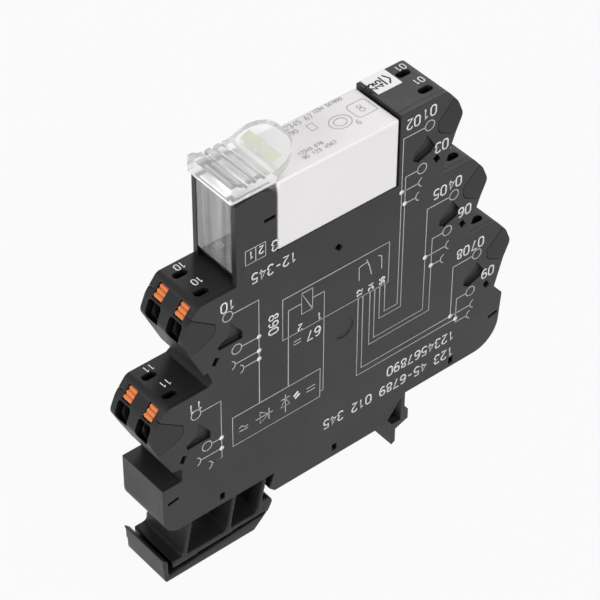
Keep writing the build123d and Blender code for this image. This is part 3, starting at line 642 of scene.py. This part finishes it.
# In millimetres on the cover, x to the right and z up.
paths = [
    # Frames round the relay's drawing and the supply's drawing
    [(-13.6, 49.8), (12.8, 49.8), (12.8, 39.5), (-13.6, 39.5), (-13.6, 49.8)],
    [(-25.9, 26.6), (-4.2, 26.6), (-4.2, 19.0), (-25.9, 19.0), (-25.9, 26.6)],
    # From the upper coil tier to the supply, and from the supply to the coil
    [(-25.4, 53.2), (-19.3, 53.2), (-19.3, 26.6)],
    [(-9.0, 46.3), (-12.2, 46.3), (-12.2, 26.6)],
    [(-6.3, 46.3), (-3.4, 46.3), (-3.4, 20.4), (-4.2, 20.4)],
    # Coil, with its slanted line
    [(-9.0, 48.8), (-6.3, 48.8), (-6.3, 43.6), (-9.0, 43.6), (-9.0, 48.8), (-6.3, 43.6)],
    # From the lower coil tier
    [(-33.3, 32.9), (-28.6, 32.9), (-28.6, 17.7), (-30.6, 17.7)],
    # From the relay's contacts to the contact tiers
    [(5.2, 39.5), (5.2, 18.9), (30.1, 18.9), (31.6, 18.9)],
    [(6.4, 39.5), (6.4, 20.4), (30.1, 20.4)],
    [(8.2, 39.5), (8.2, 25.6), (24.0, 25.6), (24.0, 44.4), (26.7, 44.4)],
    [(9.4, 39.5), (9.4, 26.8), (22.3, 26.8), (22.3, 52.8), (28.0, 52.8)],
    [(10.7, 39.5), (10.7, 31.1), (16.3, 31.1), (16.3, 63.9), (19.2, 63.9)],
    [(12.0, 39.5), (12.0, 32.3), (15.4, 32.3), (15.4, 73.5), (20.7, 73.5)],
    # To the test points of the tiers
    [(30.1, 20.4), (30.1, 33.6), (35.3, 33.6)],
    [(31.6, 17.9), (31.6, 24.3), (34.1, 24.3)],
    [(-19.3, 43.9), (-23.4, 43.9)],
    [(-28.6, 23.1), (-30.9, 23.1)],
    # Contacts of the relay
    [(5.3, 44.0), (5.2, 47.4), (7.2, 47.7)],
    [(7.1, 48.4), (7.9, 46.2), (8.4, 44.0)],
    [(10.0, 47.8), (10.9, 47.3), (11.0, 44.0)],
    # Rectifying diode
    [(-19.2, 24.0), (-17.0, 22.4), (-19.2, 21.0), (-19.2, 24.0)],
    [(-17.0, 23.9), (-17.0, 20.9)],
    [(-20.3, 22.5), (-16.0, 22.5)],
    # Light-emitting diode
    [(-12.9, 24.9), (-12.9, 20.2)],
    [(-14.0, 21.9), (-11.8, 21.9), (-12.9, 23.9), (-14.0, 21.9)],
    [(-14.0, 23.9), (-11.8, 23.9)],
    # Two bars for direct current
    [(-7.6, 23.1), (-5.4, 23.1)],
    [(-7.6, 22.2), (-5.4, 22.2)],
    # Wave and bar for alternating current
    [(-24.3, 22.8), (-23.8, 23.2), (-23.2, 22.8), (-22.7, 22.4), (-22.2, 22.8)],
    [(-24.3, 21.9), (-22.2, 21.9)],
    # Two bars for direct current, beside the coil
    [(-10.9, 37.5), (-9.1, 37.5)],
    [(-10.9, 36.7), (-9.1, 36.7)],
    # Two fields beside the tongue
    [(-22.3, 66.5), (-17.6, 66.5), (-17.6, 63.1), (-22.3, 63.1), (-22.3, 66.5)],
    [(-19.9, 66.5), (-19.9, 63.1)],
]

# Forks: start, height and end. Each is a lead with an open claw at its end.
forks = [(-19.3, 40.3, -25.9), (-19.3, 38.2, -23.9), (-28.6, 20.3, -34.6), (-28.6, 17.7, -31.9)]
forks += [(15.4, 60.6, 20.6), (16.3, 57.4, 20.0), (22.3, 40.5, 28.6), (24.0, 37.5, 27.4)]
forks += [(30.1, 20.4, 36.4), (31.6, 17.9, 35.6)]
for start, height, end in forks:
    back = fork_reach * claw_depth if end > start else -fork_reach * claw_depth
    paths.append([(start, height), (end - back, height)])
    claw = []
    for step in range(claw_steps + 1):
        angle = math.radians(-claw_half_turn + 2 * claw_half_turn / claw_steps * step)
        claw.append((end - back * math.cos(angle) * claw_stretch + back * claw_shift,
                     height + fork_reach * claw_half_height * math.sin(angle)))
    paths.append(claw)

# Rings: middle of each test point.
rings = [(-26.6, 53.2), (-24.6, 43.9), (-34.5, 32.9), (-32.1, 23.1), (21.9, 73.5), (20.4, 63.9)]
rings += [(29.2, 52.8), (27.9, 44.4), (36.5, 33.6), (35.3, 24.3)]
for x, z in rings:
    ring = []
    for step in range(ring_steps + 1):
        angle = math.radians(360 / ring_steps * step)
        ring.append((x + ring_radius * math.cos(angle), z + ring_radius * math.sin(angle)))
    paths.append(ring)


def ink_material(name, dark, light):
    """Printing ink: a little uneven."""
    material, tree, shader = new_material(name)
    place = tree.nodes.new("ShaderNodeTexCoord")
    patches = tree.nodes.new("ShaderNodeTexNoise")
    patches.inputs["Scale"].default_value = 2600.0
    patches.inputs["Detail"].default_value = 2.0
    colour = tree.nodes.new("ShaderNodeMix")
    colour.data_type = "RGBA"
    colour.inputs["A"].default_value = dark
    colour.inputs["B"].default_value = light
    shader.inputs["Roughness"].default_value = 0.6
    tree.links.new(place.outputs["Object"], patches.inputs["Vector"])
    tree.links.new(patches.outputs["Fac"], colour.inputs["Factor"])
    tree.links.new(colour.outputs["Result"], shader.inputs["Base Color"])
    return material


def ribbon_tree(name):
    """Geometry Nodes: sweep a flat strip along every path, with joined corners."""
    group = bpy.data.node_groups.new(name, "GeometryNodeTree")
    group.interface.new_socket("Geometry", in_out="INPUT", socket_type="NodeSocketGeometry")
    group.interface.new_socket("Width", in_out="INPUT", socket_type="NodeSocketFloat")
    group.interface.new_socket("Height", in_out="INPUT", socket_type="NodeSocketFloat")
    group.interface.new_socket("Face Normal", in_out="INPUT", socket_type="NodeSocketVector")
    group.interface.new_socket("Ink", in_out="INPUT", socket_type="NodeSocketMaterial")
    group.interface.new_socket("Geometry", in_out="OUTPUT", socket_type="NodeSocketGeometry")
    source = group.nodes.new("NodeGroupInput")
    target = group.nodes.new("NodeGroupOutput")
    flat = group.nodes.new("GeometryNodeSetCurveNormal")
    flat.mode = "FREE"
    profile = group.nodes.new("GeometryNodeCurvePrimitiveQuadrilateral")
    sweep = group.nodes.new("GeometryNodeCurveToMesh")
    sweep.inputs["Fill Caps"].default_value = True
    realize = group.nodes.new("GeometryNodeRealizeInstances")
    finish = group.nodes.new("GeometryNodeSetMaterial")
    group.links.new(source.outputs["Geometry"], flat.inputs["Curve"])
    group.links.new(source.outputs["Face Normal"], flat.inputs["Normal"])
    group.links.new(flat.outputs["Curve"], sweep.inputs["Curve"])
    group.links.new(source.outputs["Width"], profile.inputs["Width"])
    group.links.new(source.outputs["Height"], profile.inputs["Height"])
    group.links.new(profile.outputs["Curve"], sweep.inputs["Profile Curve"])
    group.links.new(sweep.outputs["Mesh"], realize.inputs["Geometry"])
    group.links.new(realize.outputs["Geometry"], finish.inputs["Geometry"])
    group.links.new(source.outputs["Ink"], finish.inputs["Material"])
    group.links.new(finish.outputs["Geometry"], target.inputs["Geometry"])
    return group


ribbon = ribbon_tree("ink_ribbon")


def print_lines(name, lines, place_point, width, ink, body, height=ink_height * 2):
    """Print paths on a face: sweep them with Geometry Nodes and keep a plain mesh."""
    curve = bpy.data.curves.new(name, "CURVE")
    curve.dimensions = "3D"
    for line in lines:
        spline = curve.splines.new("POLY")
        closed = line[0] == line[-1]
        points = line[:-1] if closed else line
        spline.points.add(len(points) - 1)
        for point, (across, up) in zip(spline.points, points):
            point.co = (*place_point(across, up), 1)
        spline.use_cyclic_u = closed
    carrier = bpy.data.objects.new(name + "_paths", curve)
    bpy.context.scene.collection.objects.link(carrier)
    modifier = carrier.modifiers.new("sweep", "NODES")
    modifier.node_group = ribbon
    values = {"Width": height, "Height": width, "Ink": ink}
    # Print on the cover faces sideways, and all other print faces up.
    values["Face Normal"] = (0, -1, 0) if place_point is on_cover else (0, 0, 1)
    for item in ribbon.interface.items_tree:
        if item.in_out == "INPUT" and item.name in values:
            modifier[item.identifier] = values[item.name]
    bpy.context.view_layer.update()
    graph = bpy.context.evaluated_depsgraph_get()
    mesh = bpy.data.meshes.new_from_object(carrier.evaluated_get(graph))
    bpy.data.objects.remove(carrier)
    piece = bpy.data.objects.new(name, mesh)
    bpy.context.scene.collection.objects.link(piece)
    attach(piece, body)


def on_cover(x, z):
    """Millimetres on the cover's face to a place in the frame."""
    return (x * MM, print_face, z * MM)


grey_ink = ink_material("grey_ink", (0.42, 0.42, 0.42, 1), (0.56, 0.56, 0.56, 1))
print_lines("circuit_print", paths, on_cover, line_width, grey_ink, "housing")

# Numbers and dots: whiter ink, printed in the same run. The digits are plain running ones,
# drawn as strokes on a grid of 4 by 7 with the next digit 5.6 further.
digit_rise = 7
digit_pitch = 5.6
digit_lines = {
    "0": [[(1, 0), (0, 1.4), (0, 5.6), (1, 7), (3, 7), (4, 5.6), (4, 1.4), (3, 0), (1, 0)]],
    "1": [[(1, 5.6), (2.6, 7), (2.6, 0)]],
    "2": [[(0, 5.6), (0.8, 6.8), (2, 7), (3.4, 6.6), (4, 5.2), (3.4, 3.8), (0, 0), (4, 0)]],
    "3": [[(0, 6.2), (1.2, 7), (3, 7), (3.9, 5.6), (3, 4), (1.6, 3.8)],
          [(1.6, 3.8), (3, 3.6), (4, 2), (3, 0.2), (1.2, 0), (0, 0.9)]],
    "4": [[(3, 0), (3, 7), (0, 2), (4.2, 2)]],
    "5": [[(3.8, 7), (0.6, 7), (0.3, 4), (2, 4.4), (3.5, 3.8), (4, 2.2), (3.2, 0.4), (1.6, 0),
           (0, 0.8)]],
    "6": [[(3.6, 6.4), (2.4, 7), (1, 6.2), (0.1, 4), (0, 2), (0.8, 0.3), (2.2, 0), (3.6, 0.6),
           (4, 2.2), (3.4, 3.7), (2, 4), (0.4, 3)]],
    "7": [[(0, 7), (4, 7), (1.4, 0)]],
    "8": [[(2, 4), (0.5, 5), (0.6, 6.4), (2, 7), (3.4, 6.4), (3.5, 5), (2, 4)],
          [(2, 4), (0.2, 2.8), (0.2, 0.9), (2, 0), (3.8, 0.9), (3.8, 2.8), (2, 4)]],
    "9": [[(0.4, 0.6), (1.6, 0), (3, 0.8), (3.9, 3), (4, 5), (3.2, 6.7), (1.8, 7), (0.4, 6.4),
           (0, 4.8), (0.6, 3.3), (2, 3), (3.6, 4)]],
    "-": [[(0.6, 3.4), (3.4, 3.4)]],
}


def number_lines(text, x, z, height, turn=180.0):
    """Strokes of a number whose first digit starts at a corner, turned about it."""
    unit = height / digit_rise
    lines = []
    for place, digit in enumerate(text):
        for stroke in digit_lines.get(digit, []):
            line = []
            for across, up in stroke:
                along = (across + place * digit_pitch) * unit
                rise = up * unit
                angle = math.radians(turn)
                line.append((x + along * math.cos(angle) - rise * math.sin(angle),
                             z + along * math.sin(angle) + rise * math.cos(angle)))
            lines.append(line)
    return lines


# Each number with its corner, in millimetres. They are read from above, so they stand
# upside down on the cover, and the tiny ones beside the contacts stand on end.
big = [("01", 23.3, 77.9), ("02", 19.3, 77.4), ("03", 26.8, 68.1), ("04", 30.9, 56.9)]
big += [("05", 27.0, 56.6), ("06", 33.9, 48.3), ("07", 38.1, 37.5), ("08", 34.2, 37.3)]
big += [("09", 41.5, 28.0), ("10", -24.9, 56.9), ("11", -32.9, 36.0), ("12-345", -10.3, 60.2)]
big += [("67", -4.3, 38.1), ("3", -14.8, 65.5)]
small = [("1", -20.4, 65.9), ("2", -18.1, 65.9), ("1", -4.0, 41.5), ("2", -8.8, 41.2)]
tiny = [("12", 6.1, 39.9), ("34", 9.0, 39.9), ("56", 11.8, 39.9)]
big_height, small_height, tiny_height = 2.3, 1.7, 1.2
numbers = []
for text, x, z in big:
    numbers += number_lines(text, x, z, big_height)
for text, x, z in small:
    numbers += number_lines(text, x, z, small_height)
for text, x, z in tiny:
    numbers += number_lines(text, x, z, tiny_height, 90)
numbers += number_lines("890", -16.9, 47.4, 2.2, -90)
numbers += number_lines("1234567890", 31.4, 15.9, big_height)
numbers += number_lines("123 45-6789 012 345", 31.4, 11.4, big_height)
white_ink = ink_material("white_ink", (0.72, 0.72, 0.72, 1), (0.86, 0.86, 0.86, 1))
print_lines("number_print", numbers, on_cover, number_width, white_ink, "housing")

# Dots: the path is a ring at half the dot's radius and the strip is as wide as the radius,
# so that it fills the dot. The two short marks are the light-emitting diode's arrows.
dots = [(-19.3, 43.9), (-19.3, 40.3), (-19.3, 38.2), (-28.6, 23.1), (-28.6, 20.3), (15.4, 60.6)]
dots += [(16.3, 57.4), (22.3, 40.5), (24.0, 37.5), (30.1, 20.4), (31.6, 18.9)]
dot_radius = 0.56
dot_steps = 12
dot_height = ink_height * 3
marks = []
for x, z in dots:
    ring = []
    for step in range(dot_steps + 1):
        angle = math.radians(360 / dot_steps * step)
        ring.append((x + dot_radius / 2 * math.cos(angle), z + dot_radius / 2 * math.sin(angle)))
    ring[-1] = ring[0]
    marks.append(ring)
marks += [[(-10.8, 23.0), (-9.7, 23.8)], [(-10.5, 22.3), (-9.3, 23.0)]]
print_lines("dot_print", marks, on_cover, dot_radius * MM, white_ink, "housing",
            dot_height)

# Tier numbers: two in white on the top of each tier.
top_number_height = 1.5
top_number_rows = (5.6, 0.4)
top_number_width = 0.00026
top_places = {"a1": (-27.8, 0.0591, "10"), "a2": (-35.8, 0.0381, "11"), "no": (25.2, 0.0793, "01")}
top_places.update({"com": (32.85, 0.0593, "04"), "nc": (40.5, 0.0393, "07")})
for tier, (start, top, text) in top_places.items():
    def on_top(x, y, level=top + ink_height):
        """Millimetres on a tier's top to a place in the frame."""
        return (x * MM, y * MM, level)
    rows = []
    for y in top_number_rows:
        rows += number_lines(text, start, y, top_number_height)
    print_lines(tier + "_top_print", rows, on_top, top_number_width, white_ink, "housing")

# Marker print: black, thermal printed, plain digits and bars.
marker_top = 0.0795 + ink_height
marker_line_width = 0.00034


def on_marker(x, y):
    """Millimetres on the marker's face to a place in the frame."""
    return (x * MM, y * MM, marker_top)


black_ink = ink_material("black_ink", (0.012, 0.012, 0.012, 1), (0.03, 0.03, 0.03, 1))
marker_lines = number_lines("23", 16.4, 2.3, 1.5, 90) + number_lines("45", 18.2, 2.3, 1.5, 90)
marker_lines += [[(18.7, 2.2), (18.7, 5.0)], [(19.4, 2.2), (20.3, 3.4), (19.6, 5.0)]]
print_lines("marker_print", marker_lines, on_marker, marker_line_width, black_ink, "housing")

# Relay print: faint grey, laser marked on the case's top; rows of digits and plain frames.
relay_top = 0.07855 + ink_height
relay_line_width = 0.00016


def on_relay(x, y):
    """Millimetres on the relay's top to a place in the frame."""
    return (x * MM, y * MM, relay_top)


faint_ink = ink_material("faint_ink", (0.44, 0.40, 0.41, 1), (0.56, 0.52, 0.53, 1))
relay_lines = number_lines("12345 67", -4.8, 4.3, 1.2, 0) + number_lines("890", -4.8, 2.6, 1.1, 0)
relay_lines += number_lines("1234 567890", 3.2, 5.0, 0.8, 0)
relay_lines += number_lines("12345 678", -6.6, -2.8, 0.8, 0)
relay_lines += number_lines("90 123 4567", -6.6, -4.2, 0.9, 0)
relay_lines.append([(9.3, 2.9), (12.9, 2.9), (13.3, 2.3), (13.3, -1.3), (9.3, -1.3), (8.8, -0.6),
                    (8.8, 2.2), (9.3, 2.9)])
relay_lines.append([(-0.3, 3.2), (1.1, 3.2), (1.1, 1.3), (-0.3, 1.3), (-0.3, 3.2)])
relay_lines += number_lines("8", 10.4, -0.2, 2.0, 0) + number_lines("6", 7.6, -2.7, 1.3, 0)
oval_place = (5.4, 0.1)
oval_stretch = 1.25
oval_steps = 16
for radius in (1.9, 1.1):
    oval = []
    for step in range(oval_steps + 1):
        angle = math.radians(360 / oval_steps * step)
        oval.append((oval_place[0] + radius * oval_stretch * math.cos(angle),
                     oval_place[1] + radius * math.sin(angle)))
    oval[-1] = oval[0]
    relay_lines.append(oval)
print_lines("relay_print", relay_lines, on_relay, relay_line_width, faint_ink, "relay")
